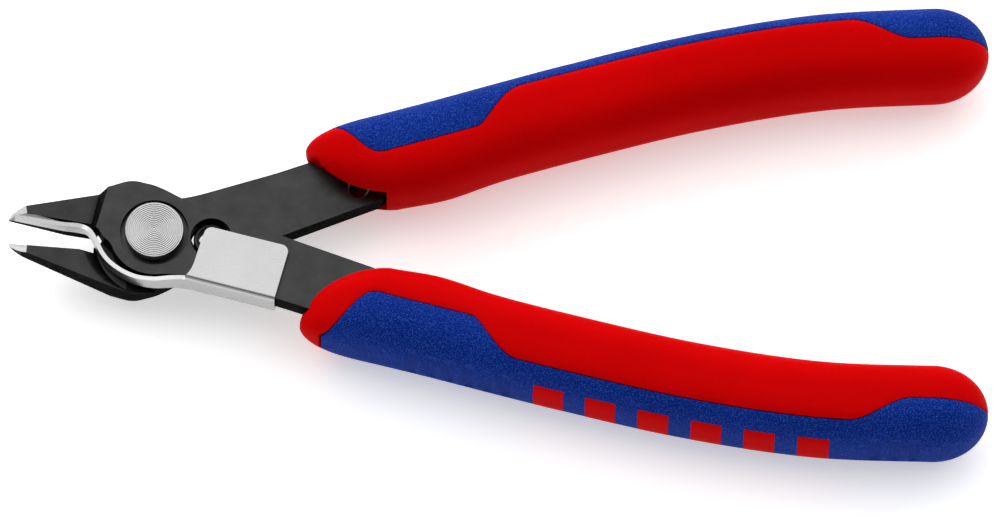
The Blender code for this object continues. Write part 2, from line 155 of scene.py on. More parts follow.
RIB_XS = [34.35 + 2.36 * k for k in range(6)] + [91.35 + 2.44 * k for k in range(3)]
RIB_DEPTH = 0.5
RIB_HALF_WIDTH = 0.62
RIB_HALF_ANGLE = 0.5        # radians round the section
BAR_XS = [(start, start + 3.9) for start in (49.5, 56.0, 62.5, 69.0, 75.5, 82.0)]
BAR_HALF_ANGLE = 0.42       # radians round the section
BAR_SAMPLES = 17
BAR_PROUD = 0.03
BAR_DEPTH = 0.5

# Studio and camera, in metres and degrees
WORLD_STRENGTH = 2.7
WORLD_LIGHT = [(0.0, 0.30), (0.10, 0.26), (0.22, 0.04), (0.36, 0.04), (0.54, 0.44), (0.74, 0.46),
               (0.92, 0.95)]        # grey over the direction, from the front to the back
FLOOR_HALF_SIZE = 1.2
KEY_PLACE = (-0.35, 0.30, 0.75)
KEY_TARGET = (0.045, 0.0, 0.0)
KEY_SIZE = 0.45
KEY_POWER = 1.2
CAMERA_TARGET = (0.0437, -0.0031, LAP_HEIGHT * MM)
CAMERA_ELEVATION = 69.0
CAMERA_AZIMUTH = -0.48
CAMERA_DISTANCE = 2.5
CAMERA_LENS = 711.0


# ---------------------------------------------------------------- mesh helpers

def finish_mesh(name, bm, material, smooth_angle=35):
    """Turns a bmesh in lap-plane millimetres into an object in the frame's metres."""
    bmesh.ops.translate(bm, vec=(0, 0, LAP_HEIGHT), verts=bm.verts)
    bmesh.ops.scale(bm, vec=(MM, MM, MM), verts=bm.verts)
    bmesh.ops.recalc_face_normals(bm, faces=bm.faces)
    mesh = bpy.data.meshes.new(name)
    bm.to_mesh(mesh)
    bm.free()
    if material:
        mesh.materials.append(material)
    mesh.shade_smooth()
    mesh.set_sharp_from_angle(angle=math.radians(smooth_angle))
    obj = bpy.data.objects.new(name, mesh)
    bpy.context.collection.objects.link(obj)
    return obj


def combine(target, bm, operation="DIFFERENCE"):
    """Applies an exact Boolean straight away, so no helper object is left."""
    helper = finish_mesh("helper", bm, None)
    modifier = target.modifiers.new("boolean", "BOOLEAN")
    modifier.operation = operation
    modifier.solver = "EXACT"
    modifier.object = helper
    apply_modifiers(target)
    bpy.data.objects.remove(helper, do_unlink=True)


def apply_modifiers(obj):
    graph = bpy.context.evaluated_depsgraph_get()
    graph.update()
    mesh = bpy.data.meshes.new_from_object(obj.evaluated_get(graph))
    old = obj.data
    obj.modifiers.clear()
    obj.data = mesh
    bpy.data.meshes.remove(old)


def soften_edges(obj, width):
    """Rounds the edges a little, as deburring does."""
    modifier = obj.modifiers.new("bevel", "BEVEL")
    modifier.width = width * MM
    modifier.segments = 2
    modifier.limit_method = "ANGLE"
    modifier.angle_limit = math.radians(32)
    modifier.use_clamp_overlap = True
    weighted = obj.modifiers.new("weighted", "WEIGHTED_NORMAL")
    weighted.weight = 100
    weighted.keep_sharp = True
    apply_modifiers(obj)


def mirrored(points, side):
    return [(x, side * y) for x, y in points]


def arc(centre, radius, start, end, steps):
    angles = np.radians(np.linspace(start, end, steps + 1))
    return [(centre[0] + radius * math.cos(a), centre[1] + radius * math.sin(a)) for a in angles]


def curve_through(points, steps):
    """Catmull-Rom points through a list of points of any dimension."""
    pts = [np.array(p, float) for p in points]
    pts = [2 * pts[0] - pts[1]] + pts + [2 * pts[-1] - pts[-2]]
    out = []
    for a, b, c, d in zip(pts, pts[1:], pts[2:], pts[3:]):
        for t in np.arange(steps) / steps:
            out.append(0.5 * (2 * b + (c - a) * t + (2 * a - 5 * b + 4 * c - d) * t ** 2
                              + (3 * b - a - 3 * c + d) * t ** 3))
    return [tuple(p) for p in out + [pts[-2]]]


def bezier(points, steps):
    vectors = [Vector((*p, 0.0)) for p in points]
    return [(p.x, p.y) for p in interpolate_bezier(*vectors, steps)]


def loft(rings):
    """Skins a row of rings of points and closes both ends."""
    bm = bmesh.new()
    loops = [[bm.verts.new(p) for p in ring] for ring in rings]
    count = len(loops[0])
    for near, far in zip(loops, loops[1:]):
        for k in range(count):
            j = (k + 1) % count
            bm.faces.new((near[k], near[j], far[j], far[k]))
    bm.faces.new(loops[0][::-1])
    bm.faces.new(loops[-1])
    return bm


def prism(outline, bottom, top):
    return loft([[(x, y, z) for x, y in outline] for z in (bottom, top)])


def disc(radius, bottom, top, centre=(0.0, 0.0), steps=128):
    return prism(arc(centre, radius, 0, 360 * (1 - 1 / steps), steps - 1), bottom, top)


def turned(profile, steps=160):
    angles = np.radians(np.arange(steps) * 360 / steps)
    return loft([[(r * math.cos(a), r * math.sin(a), z) for a in angles] for r, z in profile])


def hull(points):
    bm = bmesh.new()
    for point in points:
        bm.verts.new(point)
    bmesh.ops.convex_hull(bm, input=bm.verts)
    return bm


# ---------------------------------------------------------------- material helpers

class Nodes:
    """Short calls for building a Principled material's node tree."""

    def __init__(self, name):
        self.material = bpy.data.materials.new(name)
        self.material.use_nodes = True
        self.tree = self.material.node_tree
        self.shader = self.tree.nodes["Principled BSDF"]
        self.coords = self.add("ShaderNodeTexCoord").outputs["Object"]

    def add(self, kind, inputs=None, **settings):
        node = self.tree.nodes.new(kind)
        for key, value in settings.items():
            setattr(node, key, value)
        for key, value in (inputs or {}).items():
            self.put(node.inputs[key], value)
        return node

    def put(self, socket, value):
        if isinstance(value, bpy.types.NodeSocket):
            self.tree.links.new(value, socket)
        else:
            socket.default_value = value

    def surface(self, **values):
        for key, value in values.items():
            self.put(self.shader.inputs[key.replace("_", " ")], value)

    def noise(self, scale, detail=3.0, roughness=0.55, coords=None):
        node = self.add("ShaderNodeTexNoise", {"Vector": coords or self.coords, "Scale": scale,
                                               "Detail": detail, "Roughness": roughness})
        return node.outputs["Fac"]

    def stretched(self, scale):
        node = self.add("ShaderNodeMapping", {"Vector": self.coords, "Scale": scale})
        return node.outputs["Vector"]

    def ramp(self, factor, stops):
        node = self.add("ShaderNodeValToRGB", {"Fac": factor})
        elements = node.color_ramp.elements
        while len(elements) < len(stops):
            elements.new(0.5)
        for element, (position, colour) in zip(elements, stops):
            element.position = position
            element.color = (*colour, 1.0)
        return node.outputs["Color"]

    def scaled(self, factor, low, high, start=0.0, end=1.0):
        node = self.add("ShaderNodeMapRange", {"Value": factor, "From Min": start, "From Max": end,
                                               "To Min": low, "To Max": high})
        return node.outputs["Result"]

    def mix(self, factor, a, b):
        node = self.add("ShaderNodeMix", data_type="RGBA")
        self.put(node.inputs[0], factor)
        self.put(node.inputs[6], a)
        self.put(node.inputs[7], b)
        return node.outputs[2]

    def maths(self, operation, a, b=0.0):
        node = self.add("ShaderNodeMath", {0: a, 1: b}, operation=operation)
        return node.outputs[0]

    def bump(self, height, strength, distance, below=None):
        inputs = {"Height": height, "Strength": strength, "Distance": distance}
        if below is not None:
            inputs["Normal"] = below
        return self.add("ShaderNodeBump", inputs).outputs["Normal"]


def burnished_black(name):
    """Oil-black satin steel: soft mottling and fine lapping marks."""
    n = Nodes(name)
    mottle = n.noise(450.0, 4.0)
    marks = n.noise(1.0, 2.0, coords=n.stretched((500.0, 4500.0, 4500.0)))
    base = n.ramp(mottle, [(0.3, (0.036, 0.036, 0.0365)), (0.7, (0.048, 0.048, 0.049))])
    n.surface(Base_Color=base, Metallic=1.0, Roughness=n.scaled(marks, 0.30, 0.44, 0.3, 0.7),
              Normal=n.bump(marks, 0.12, 0.00006, n.bump(n.noise(5200.0, 2.0), 0.15, 0.00004)))
    n.surface(Specular_Tint=(0.25, 0.25, 0.25, 1.0))
    return n.material


def ground_steel(name):
    """Freshly ground tip facets with parallel grinding lines."""
    n = Nodes(name)
    lines = n.noise(1.0, 2.0, coords=n.stretched((900.0, 9000.0, 1500.0)))
    n.surface(Base_Color=n.ramp(lines, [(0.3, (0.40, 0.40, 0.41)), (0.7, (0.52, 0.52, 0.53))]),
              Metallic=1.0, Roughness=0.33, Normal=n.bump(lines, 0.2, 0.00005))
    return n.material


def turned_steel(name):
    """Bright face with the fine concentric rings that a lathe tool leaves."""
    n = Nodes(name)
    place = n.add("ShaderNodeSeparateXYZ", {"Vector": n.coords})
    radius = n.maths("SQRT", n.maths("ADD", n.maths("POWER", place.outputs[0], 2.0),
                                     n.maths("POWER", place.outputs[1], 2.0)))
    rings = n.maths("SINE", n.maths("MULTIPLY", radius, 2 * math.pi / 0.00024))
    drift = n.noise(260.0, 3.0)
    n.surface(Base_Color=n.ramp(drift, [(0.3, (0.33, 0.33, 0.335)), (0.7, (0.40, 0.40, 0.405))]),
              Metallic=1.0, Roughness=0.30, Normal=n.bump(rings, 0.7, 0.00004))
    return n.material


def sheet_steel(name):
    """Satin rolled stainless sheet."""
    n = Nodes(name)
    grain = n.noise(1.0, 3.0, coords=n.stretched((700.0, 9000.0, 9000.0)))
    cloud = n.noise(180.0, 3.0)
    n.surface(Base_Color=n.ramp(cloud, [(0.3, (0.45, 0.45, 0.455)), (0.7, (0.48, 0.48, 0.485))]),
              Metallic=1.0, Roughness=n.scaled(grain, 0.26, 0.32, 0.3, 0.7),
              Normal=n.bump(grain, 0.04, 0.00003))
    return n.material


def spring_wire(name):
    n = Nodes(name)
    draw = n.noise(900.0, 3.0)
    # the wire is darker than the levers' steel: partly its own black finish, partly painted shade of
    # the deep pocket it sits in
    n.surface(Base_Color=n.ramp(draw, [(0.3, (0.02, 0.02, 0.022)), (0.7, (0.035, 0.035, 0.038))]),
              Metallic=1.0, Roughness=n.scaled(draw, 0.28, 0.42), Normal=n.bump(draw, 0.1, 0.00004))
    return n.material


def hard_grip(name):
    """Hard red component: satin moulding with a very fine spark-eroded grain."""
    n = Nodes(name)
    tone = n.noise(60.0, 3.0)
    grain = n.noise(5200.0, 2.0, 0.6)
    base = n.ramp(tone, [(0.3, (0.49, 0.0008, 0.0012)), (0.7, (0.55, 0.0012, 0.0016))])
    base = n.mix(n.scaled(grain, 0.0, 0.30, 0.5, 0.75), base, (0.64, 0.003, 0.004, 1.0))
    n.surface(Base_Color=base, Roughness=n.scaled(grain, 0.36, 0.50, 0.35, 0.65),
              Normal=n.bump(grain, 0.25, 0.00010))
    n.surface(Specular_IOR_Level=0.004, Specular_Tint=(1.0, 0.3, 0.3, 1.0))
    return n.material


def soft_grip(name):
    """Soft blue component: matt, with a fine grain; the bright specks mixed into its colour are
    painted sparkle of that grain.
    """
    n = Nodes(name)
    tone = n.noise(70.0, 3.0)
    grain = n.noise(5600.0, 3.0, 0.6)
    base = n.ramp(tone, [(0.3, (0.001, 0.014, 0.18)), (0.7, (0.002, 0.020, 0.22))])
    # painted sparkle: the grain lifts the colour in specks towards a light blue, standing in for
    # light caught by the grain
    base = n.mix(n.scaled(grain, 0.0, 0.7, 0.48, 0.72), base, (0.045, 0.12, 0.44, 1.0))
    n.surface(Base_Color=base, Roughness=n.scaled(grain, 0.48, 0.66, 0.35, 0.65),
              Normal=n.bump(grain, 0.55, 0.00016))
    n.surface(Specular_IOR_Level=0.02, Specular_Tint=(0.4, 0.6, 1.0, 1.0))
    return n.material


# ---------------------------------------------------------------- grips' plan

def grip_line_y(x):
    xs, ys = zip(*GRIP_LINE)
    slopes = np.gradient(ys, xs)
    x_in = min(max(x, xs[0]), xs[-1])
    k = min(int(np.searchsorted(xs, x_in, side="right")) - 1, len(xs) - 2)
    width = xs[k + 1] - xs[k]
    t = (x_in - xs[k]) / width
    y = ((1 + 2 * t) * (1 - t) ** 2 * ys[k] + t * (1 - t) ** 2 * width * slopes[k]
         + t * t * (3 - 2 * t) * ys[k + 1] + t * t * (t - 1) * width * slopes[k + 1])
    end_slope = slopes[0] if x < xs[0] else slopes[-1]
    return y + (x - x_in) * end_slope


def grip_normal(x):
    slope = grip_line_y(x + 0.5) - grip_line_y(x - 0.5)
    length = math.hypot(1.0, slope)
    return (-slope / length, 1.0 / length)


def grip_side(x, offset):
    nx, ny = grip_normal(x)
    return (x + offset * nx, grip_line_y(x) + offset * ny)


def tang_outline(grow=0.0):
    half = TANG_HALF_WIDTH + grow
    stations = list(np.arange(TANG_START_X, TANG_END_X, TANG_STEP)) + [TANG_END_X]
    outer = [grip_side(x, half) for x in stations]
    inner = [grip_side(x, -half) for x in reversed(stations)]
    bend = [(30.3 + grow, 6.9 - grow), (28.3 + grow, 5.25 - grow)]
    cx, cy = TANG_END_X, grip_line_y(TANG_END_X)
    lean = math.degrees(math.atan2(grip_normal(cx)[1], grip_normal(cx)[0]))
    cap = arc((cx, cy), half, lean - 10, lean - 170, 16)
    return outer + cap + inner + bend


# ---------------------------------------------------------------- levers

def edge_y(x):
    return -x * math.tan(math.radians(HALF_OPENING))


def flush_z(x):
    return -PLATE + FLUSH_SLOPE * (FLUSH_START_X - x)


def top_z(x):
    return TOP_Z + TOP_SLOPE * (TOP_X - x)


def lever_outline(side):
    mouth = [(TIP_X, edge_y(TIP_X)), (KINK_X, edge_y(KINK_X))]
    mouth += bezier([(-8.9, 0.95), (-7.9, 1.0), (-7.2, 1.0), (-6.9, 0.3)], 8)
    mouth += bezier([(-6.7, -0.1), (-6.3, -0.8), (-5.75, -1.0), (-5.60, -1.35)], 6)
    boss = arc((0, 0), BOSS_RADIUS, 198, 268, 28)
    lower = bezier([(1.2, -5.62), (3.2, -5.66), (4.8, -5.98), (6.5, -6.46)], 10)
    lower += [(15.5, -9.1), (19.0, -10.3)]
    tang = [(x, -y) for x, y in tang_outline()]
    upper = [(6.4, 3.1)] + bezier([(4.6, 3.95), (2.5, 5.1), (0.7, 6.35), (-0.9, 6.64)], 12)
    jaw_back = arc((-2.75, 3.0), 4.0, 77, 105.5, 14) + [(-7.1, 5.87), (-16.2, 3.15)]
    jaw_back += bezier([(-16.8, 2.95), (-17.6, 2.6), (-18.2, 2.1), (TIP_X, 1.75)], 8)[:-1]
    return mirrored(mouth + boss + lower + tang + upper + jaw_back, side)


def bevel_cutter(side):
    points = []
    for x in (TIP_X - 1.0, -7.75):
        edge, base, roof = edge_y(x), flush_z(x), BLANK_TOP + 0.5
        setback = 1.2 - 0.038 * (-7.3 - x)
        section = [(edge, base), (edge + 0.9 * setback, base + BEVEL_HEIGHT),
                   (edge + setback, roof), (edge - 4.0, roof), (edge - 4.0, base - 0.6)]
        points += [(x, side * y, z) for y, z in section]
    return hull(points)


def flush_cutter():
    far, near = TIP_X - 2.0, FLUSH_START_X
    section = [(far, flush_z(far)), (near, flush_z(near)), (near, -REACH), (far, -REACH)]
    return hull([(x, y, z) for x, z in section for y in (-12.0, 12.0)])


def jaw_top_cutter(side):
    far = TIP_X - 2.0
    points = []
    for y, foot in ((6.9, -6.75), (-3.0, -9.1)):
        head = foot + (PLATE + 1.0 - top_z(foot)) * 0.58
        points += [(foot, side * y, top_z(foot)), (head, side * y, PLATE + 1.0),
                   (head, side * y, REACH), (far, side * y, REACH), (far, side * y, top_z(far))]
    return hull(points)


def tip_facet_normal(side):
    normal = Vector(FACET_SLOPE).normalized()
    return Vector((normal.x, side * normal.y, normal.z))


def tip_facet_cutter(side):
    """Grinds the top of the jaw's tip down to a bright facet."""
    start = Vector((FACET_START[0], side * FACET_START[1], FACET_START[2]))
    normal = tip_facet_normal(side)
    across = normal.cross(Vector((1, 0, 0))).normalized()
    along = across.cross(normal)
    corners = [start + a * across + b * along
               for a in (-FACET_WIDTH, FACET_WIDTH) for b in (-FACET_REACH, FACET_REACH)]
    return hull(corners + [corner + FACET_REACH * normal for corner in corners])


def lever_cutters(side):
    """Every cut that shapes one lever, in order."""
    if side == 1:
        shaping = [jaw_top_cutter(1),
                   hull([(x, y, z) for x in (-9.6, 90.0) for y in (-40.0, 40.0)
                         for z in (PLATE, REACH)]),
                   disc(JAW_CLEARANCE, -REACH, LAP_GAP),
                   prism([(-1.0, -40.0), (90.0, -40.0), (90.0, 20.0), (-1.0, 20.0)],
                         -REACH - 0.5, LAP_GAP),
                   disc(SINK_RADIUS, PLATE - SINK_DEPTH, REACH)]
    else:
        roof = [(x, y, z + dz) for x, z in ((TIP_X - 2.0, top_z(TIP_X - 2.0)), (0.0, top_z(0.0)))
                for y in (-12.0, 12.0) for dz in (0.0, REACH)]
        shaping = [hull(roof),
                   turned([(CONE_FOOT - 0.1, -LAP_GAP), (CONE_FOOT + 8.0, 8.0)]),
                   prism([(-3.0, -20.0), (90.0, -20.0), (90.0, 40.0), (-3.0, 40.0)],
                         -LAP_GAP, REACH + 0.5)]
    holes = [disc(BORE_RADIUS, -REACH, REACH),
             disc(POCKET_RADIUS, -REACH, REACH, (POCKET[0], side * POCKET[1]), 64),
             disc(TANG_HOLE_RADIUS, -REACH, REACH, (TANG_HOLE[0], -side * TANG_HOLE[1]), 48)]
    rim = turned([(TANG_HOLE_RADIUS - 0.1, PLATE - 0.4),
                  (TANG_HOLE_RADIUS + RIM_WIDTH, PLATE + 0.4)], 48)
    rim_z = 0 if side == 1 else -PLATE - LAP_GAP
    bmesh.ops.translate(rim, vec=(TANG_HOLE[0], -side * TANG_HOLE[1], rim_z), verts=rim.verts)
    return shaping + [flush_cutter(), bevel_cutter(side)] + holes + [rim, tip_facet_cutter(side)]


def build_lever(name, side, black, bright):
    """One forged lever, with the ground surfaces of the jaw and the hole's rim bright."""
    lever = finish_mesh(name, prism(lever_outline(side), -PLATE, BLANK_TOP), black)
    for cutter in lever_cutters(side):
        combine(lever, cutter)
    soften_edges(lever, EDGE_BREAK)
    lever.data.materials.append(bright)
    facet = tip_facet_normal(side)
    for polygon in lever.data.polygons:
        centre, normal = polygon.center / MM, polygon.normal
        on_tip = centre.x < FACET_START[0] + 0.6 and normal.dot(facet) > 0.995
        on_bevel = centre.x < KINK_X and normal.y * side < -0.5
        reach = math.hypot(centre.x - TANG_HOLE[0], centre.y + side * TANG_HOLE[1])
        on_rim = reach < TANG_HOLE_RADIUS + RIM_WIDTH and 0.2 < normal.z < 0.95
        if on_tip or on_bevel or on_rim:
            polygon.material_index = 1
    return lever


# ---------------------------------------------------------------- pivot and spring

def build_pivot_bolt(material):
    foot = PLATE - SINK_DEPTH + 0.15
    profile = [(SHANK_RADIUS, -LAP_HEIGHT), (SHANK_RADIUS, foot), (HEAD_RADIUS - 0.08, foot),
               (HEAD_RADIUS, foot + 0.08), (HEAD_RADIUS, HEAD_TOP - 0.16),
               (HEAD_RADIUS - 0.05, HEAD_TOP - 0.05), (HEAD_RADIUS - 0.16, HEAD_TOP),
               (HEAD_RADIUS - 0.5, HEAD_TOP), (1.0, HEAD_TOP), (0.2, HEAD_TOP - 0.02)]
    return finish_mesh("pivot_bolt_finished", turned(profile), material)


def build_pivot_nut(material):
    top = -PLATE - 0.02
    outline = arc((0, 0), HEAD_RADIUS, -58, 58, 48) + arc((0, 0), HEAD_RADIUS, 122, 238, 48)
    nut = finish_mesh("pivot_nut_finished", prism(outline, -LAP_HEIGHT, top), material)
    combine(nut, disc(SHANK_RADIUS + 0.06, -REACH, 0.0))
    soften_edges(nut, EDGE_BREAK)
    return nut


def build_spring(material):
    """One wire: a coil in each lever's pocket, with a bridge between them at the lap."""
    halves = {}
    for side in (1, -1):
        halves[side] = []
        for k in range(COIL_TURNS * COIL_STEPS + 1):
            angle = 2 * math.pi * k / COIL_STEPS
            halves[side].append((POCKET[0] + COIL_RADIUS * math.cos(angle),
                                 side * (POCKET[1] + COIL_RADIUS * math.sin(angle)),
                                 side * (COIL_START + COIL_PITCH * k / COIL_STEPS)))
    route = [np.array(p) for p in halves[1][::-1] + halves[-1]]
    rings = []
    for k, point in enumerate(route):
        along = route[min(k + 1, len(route) - 1)] - route[max(k - 1, 0)]
        along /= np.linalg.norm(along)
        across = np.cross(along, (0.0, 0.0, 1.0))
        if np.linalg.norm(across) < 0.05:
            across = np.cross(along, (1.0, 0.0, 0.0))
        across /= np.linalg.norm(across)
        up = np.cross(across, along)
        angles = np.radians(np.arange(WIRE_SIDES) * 360 / WIRE_SIDES)
        rings.append([tuple(point + WIRE / 2 * (math.cos(a) * across + math.sin(a) * up))
                      for a in angles])
    return finish_mesh("opening_spring_finished", loft(rings), material)


# ---------------------------------------------------------------- lead catcher

def catcher_channel():
    """The clip's folded section, drawn across the fold and extruded along it."""
    start, end = Vector(FOLD_START), Vector(FOLD_END)
    along = (end - start).normalized()
    inward = Vector((-along.y, along.x))
    roof, floor = PLATE + SHEET_GAP + SHEET, -0.62
    bend, wall = 0.62, -(SHEET_GAP + SHEET)
    outer = [(7.6, roof)] + arc((wall + bend, roof - bend), bend, 90, 180, 10)
    outer += arc((wall + 0.65, floor + 0.65), 0.65, 180, 270, 8) + [(1.3, floor)]
    inner = [(1.3, floor + 0.45)] + arc((wall + 0.65, floor + 0.65), 0.2, 270, 180, 4)
    inner += arc((wall + bend, roof - bend), bend - SHEET, 180, 90, 4) + [(7.6, roof - SHEET)]
    rings = []
    for distance in (-0.6, (end - start).length + 0.6):
        base = start + along * distance
        rings.append([(*(base + inward * u), z) for u, z in outer + inner])
    return loft(rings)


def catcher_plan():
    """Plan of the clip: rounded top corners, concave run-out into the arm at the left."""
    left = bezier([(3.9, -6.1), (4.75, -5.3), (4.95, -4.6), (5.25, -3.6)], 10)
    left += [(6.1, -0.9)]
    return (left + arc((7.25, -0.55), 0.95, 165, 76, 10) + arc((15.95, -2.95), 0.95, 72, -14, 10)
            + [(15.2, -9.1), (15.0, -10.4), (3.6, -7.2)])


def catcher_arm():
    route = [(6.8, -6.97), (4.3, -6.22), (2.2, -6.08), (0.0, -6.2), (-2.0, -5.93), (-3.5, -5.33),
             (-4.8, -4.5), (-5.8, -3.6), (-6.55, -2.6), (-7.1, -1.5), (-7.6, -0.4), (-8.35, 0.7),
             (-9.6, 1.25), (-11.5, 1.2), (-13.5, 1.28), (-15.6, 1.38), (-17.6, 1.48)]
    bottoms = np.interp([x for x, _ in route], [-17.6, -9.6, -8.35, -7.1, -2.0, 4.3],
                        [flush_z(-17.6) + 1.25, flush_z(-9.6) + 1.45, 0.75, 0.5, 0.35, -0.3])
    tops = np.interp([x for x, _ in route], [-17.6, -9.6, -7.1, 2.2, 6.5],
                     [5.15, 2.4, 2.45, 2.95, 3.1])
    smooth = curve_through([(x, y, b, t) for (x, y), b, t in zip(route, bottoms, tops)], 6)
    rings = []
    for k, (x, y, low, high) in enumerate(smooth):
        ahead, behind = smooth[min(k + 1, len(smooth) - 1)], smooth[max(k - 1, 0)]
        along = Vector((ahead[0] - behind[0], ahead[1] - behind[1])).normalized()
        dx, dy = -along.y * SHEET / 2, along.x * SHEET / 2
        rings.append([(x + dx, y + dy, low), (x - dx, y - dy, low),
                      (x - dx, y - dy, high), (x + dx, y + dy, high)])
    return loft(rings)


def build_lead_catcher(material):
    catcher = finish_mesh("lead_catcher_finished", catcher_channel(), material)
    combine(catcher, prism(catcher_plan(), -3.0, 6.0), "INTERSECT")
    combine(catcher, catcher_arm(), "UNION")
    soften_edges(catcher, SHEET_BREAK)
    return catcher


# ---------------------------------------------------------------- grips

def smooth_step(x, start, end):
    t = min(max((x - start) / (end - start), 0.0), 1.0)
    return t * t * (3 - 2 * t)


def seam_offset(x):
    step = max((x - STEP_START) / (STEP_END - STEP_START), 0.0) ** 0.8
    return -0.8 + 4.1 * smooth_step(step, 0.0, 1.0) - 3.1 * smooth_step(x, 88.0, 96.0)


def nose_ratio(x):
    """Seam position across the nose: the pad's front end narrows towards the outer side."""
    return 0.97 - (0.97 + 0.144) * smooth_step(x, PAD_START_X, PAD_FULL_X)


def grip_stations():
    """Sections from nose to end: (middle, half width vector, half height, seam offset)."""
    stations = []
    inner = interpolate_bezier(*[Vector(p) for p in NOSE_INNER], NOSE_SECTIONS)
    outer = interpolate_bezier(*[Vector(p) for p in NOSE_OUTER], NOSE_SECTIONS)
    for a, b in list(zip(inner, outer))[NOSE_SECTIONS - 2::-1]:
        middle, half = (a + b) / 2, (b - a) / 2
        depth = min((middle.x - NOSE_TIP_X) / NOSE_CAP, 1.0)
        height = GRIP_HALF_HEIGHT * math.sqrt(1 - (1 - depth) ** 2)
        stations.append((middle, half, height, nose_ratio(middle.x) * half.length))
    body = list(np.arange(29.6, GRIP_END_X - GRIP_CAP, 0.25))
    cap = [GRIP_END_X - GRIP_CAP * (1 - math.sin(math.radians(a))) for a in range(0, 88, 4)]
    for x in body + cap:
        reach = max((x - GRIP_END_X + GRIP_CAP) / GRIP_CAP, 0.0)
        scale = math.sqrt(1 - reach * reach)
        swell = BULGE / 2 * math.exp(-((x - BULGE_X) / 5.0) ** 2)
        normal = Vector(grip_normal(x))
        middle = Vector((x, grip_line_y(x))) - normal * swell
        half = normal * (GRIP_HALF_WIDTH + swell) * scale
        stations.append((middle, half, GRIP_HALF_HEIGHT * scale, (seam_offset(x) + swell) * scale))
    return stations


def section_point(station, angle):
    middle, half, height, _ = station
    c, s = math.cos(angle), math.sin(angle)
    across = math.copysign(abs(c) ** (2 / GRIP_POWER), c)
    up = math.copysign(abs(s) ** (2 / GRIP_POWER), s)
    return Vector((middle.x + half.x * across, middle.y + half.y * across, height * up))


def seam_angle(station, shift):
    """Angle of the seam on a section, moved outwards by a distance."""
    _, half, _, offset = station
    ratio = min((offset + shift) / half.length, SEAM_LIMIT)
    return math.acos(math.copysign(abs(ratio) ** (GRIP_POWER / 2), ratio))


def inward(stations, k, angle, depth):
    """Point of a section, moved in from the surface along its normal."""
    near, far = stations[max(k - 1, 0)], stations[min(k + 1, len(stations) - 1)]
    along = section_point(far, angle) - section_point(near, angle)
    around = section_point(stations[k], angle + 0.02) - section_point(stations[k], angle - 0.02)
    return section_point(stations[k], angle) + depth * along.cross(around).normalized()


def rib_depth(x, angle):
    """Soft dents across the pad's outer side."""
    across = max(1 - (angle / RIB_HALF_ANGLE) ** 4, 0.0)
    along = sum(math.exp(-((x - rib) / RIB_HALF_WIDTH) ** 4) for rib in RIB_XS)
    return float(RIB_DEPTH * across * along)


def flip(points, side):
    """Puts a grip's points on the rear (1) or front (-1) side."""
    return [(p.x + side * GRIP_SHIFT, side * p.y, p.z) for p in points]


def build_grip_body(name, side, material):
    """Hard component, with the pad's seat, the tang's pocket and the open mouth cut into it."""
    stations = grip_stations()
    seat_start = PAD_FIRST - 1
    rings = []
    for k, station in enumerate(stations):
        edge = seam_angle(station, -SEAM_GAP / 2)
        red = np.linspace(edge, 2 * math.pi - edge, BODY_SAMPLES)
        blue = np.linspace(-edge + 0.01, edge - 0.01, SEAT_SAMPLES)
        shell = [section_point(station, a) for a in red]
        if k > seat_start:
            shell[0] = inward(stations, k, red[0], SEAM_DIP)
            shell[-1] = inward(stations, k, red[-1], SEAM_DIP)
        if k <= seat_start:
            rings.append(flip(shell + [section_point(station, a) for a in blue], side))
        if k >= seat_start:
            seat = [inward(stations, k, a, PAD_THICKNESS + SEAT_GAP) for a in blue]
            rings.append(flip(shell + seat, side))
    body = finish_mesh(name, loft(rings), material, GRIP_SMOOTH_ANGLE)
    low, high = (LAP_GAP - 0.1, PLATE + 0.1) if side == -1 else (-PLATE - 0.1, 0.1 - LAP_GAP)
    pocket = mirrored([(16.0, 9.0), (19.0, 10.25)] + tang_outline(0.12) + [(20.0, 1.0)], side)
    combine(body, prism(pocket, low, high))
    combine(body, prism(mirrored(MOUTH, side), -PLATE - 0.1, PLATE + 0.1))
    return body


def build_grip_pad(name, side, material):
    """Soft component that lies in the seat, with ribs across its outer side."""
    stations = grip_stations()
    rings = []
    for k in range(PAD_FIRST, len(stations)):
        edge = seam_angle(stations[k], SEAM_GAP / 2)
        angles = np.linspace(-edge, edge, PAD_SAMPLES)
        x = stations[k][0].x
        outer = [inward(stations, k, a, rib_depth(x, a)) for a in angles]
        for end in (0, -1):
            outer[end] = inward(stations, k, angles[end], SEAM_DIP)
        inner = [inward(stations, k, a, PAD_THICKNESS) for a in angles[::-1]]
        rings.append(flip(outer + inner, side))
    return finish_mesh(name, loft(rings), material, GRIP_SMOOTH_ANGLE)


def build_pad_bars(name, side, material):
    """Plain bars of the hard component that show through the pad's outer side."""
    stations = grip_stations()
    bm = bmesh.new()
    for start, end in BAR_XS:
        rings = []
        for k, station in enumerate(stations):
            if start <= station[0].x <= end:
                angles = np.linspace(-BAR_HALF_ANGLE, BAR_HALF_ANGLE, BAR_SAMPLES)
                outer = [inward(stations, k, a, -BAR_PROUD) for a in angles]
                inner = [inward(stations, k, a, BAR_DEPTH) for a in angles[::-1]]
                rings.append(flip(outer + inner, side))
        bar = loft(rings)
        mesh = bpy.data.meshes.new("bar")
        bar.to_mesh(mesh)
        bar.free()
        bm.from_mesh(mesh)
        bpy.data.meshes.remove(mesh)
    return finish_mesh(name, bm, material, GRIP_SMOOTH_ANGLE)


# ---------------------------------------------------------------- studio

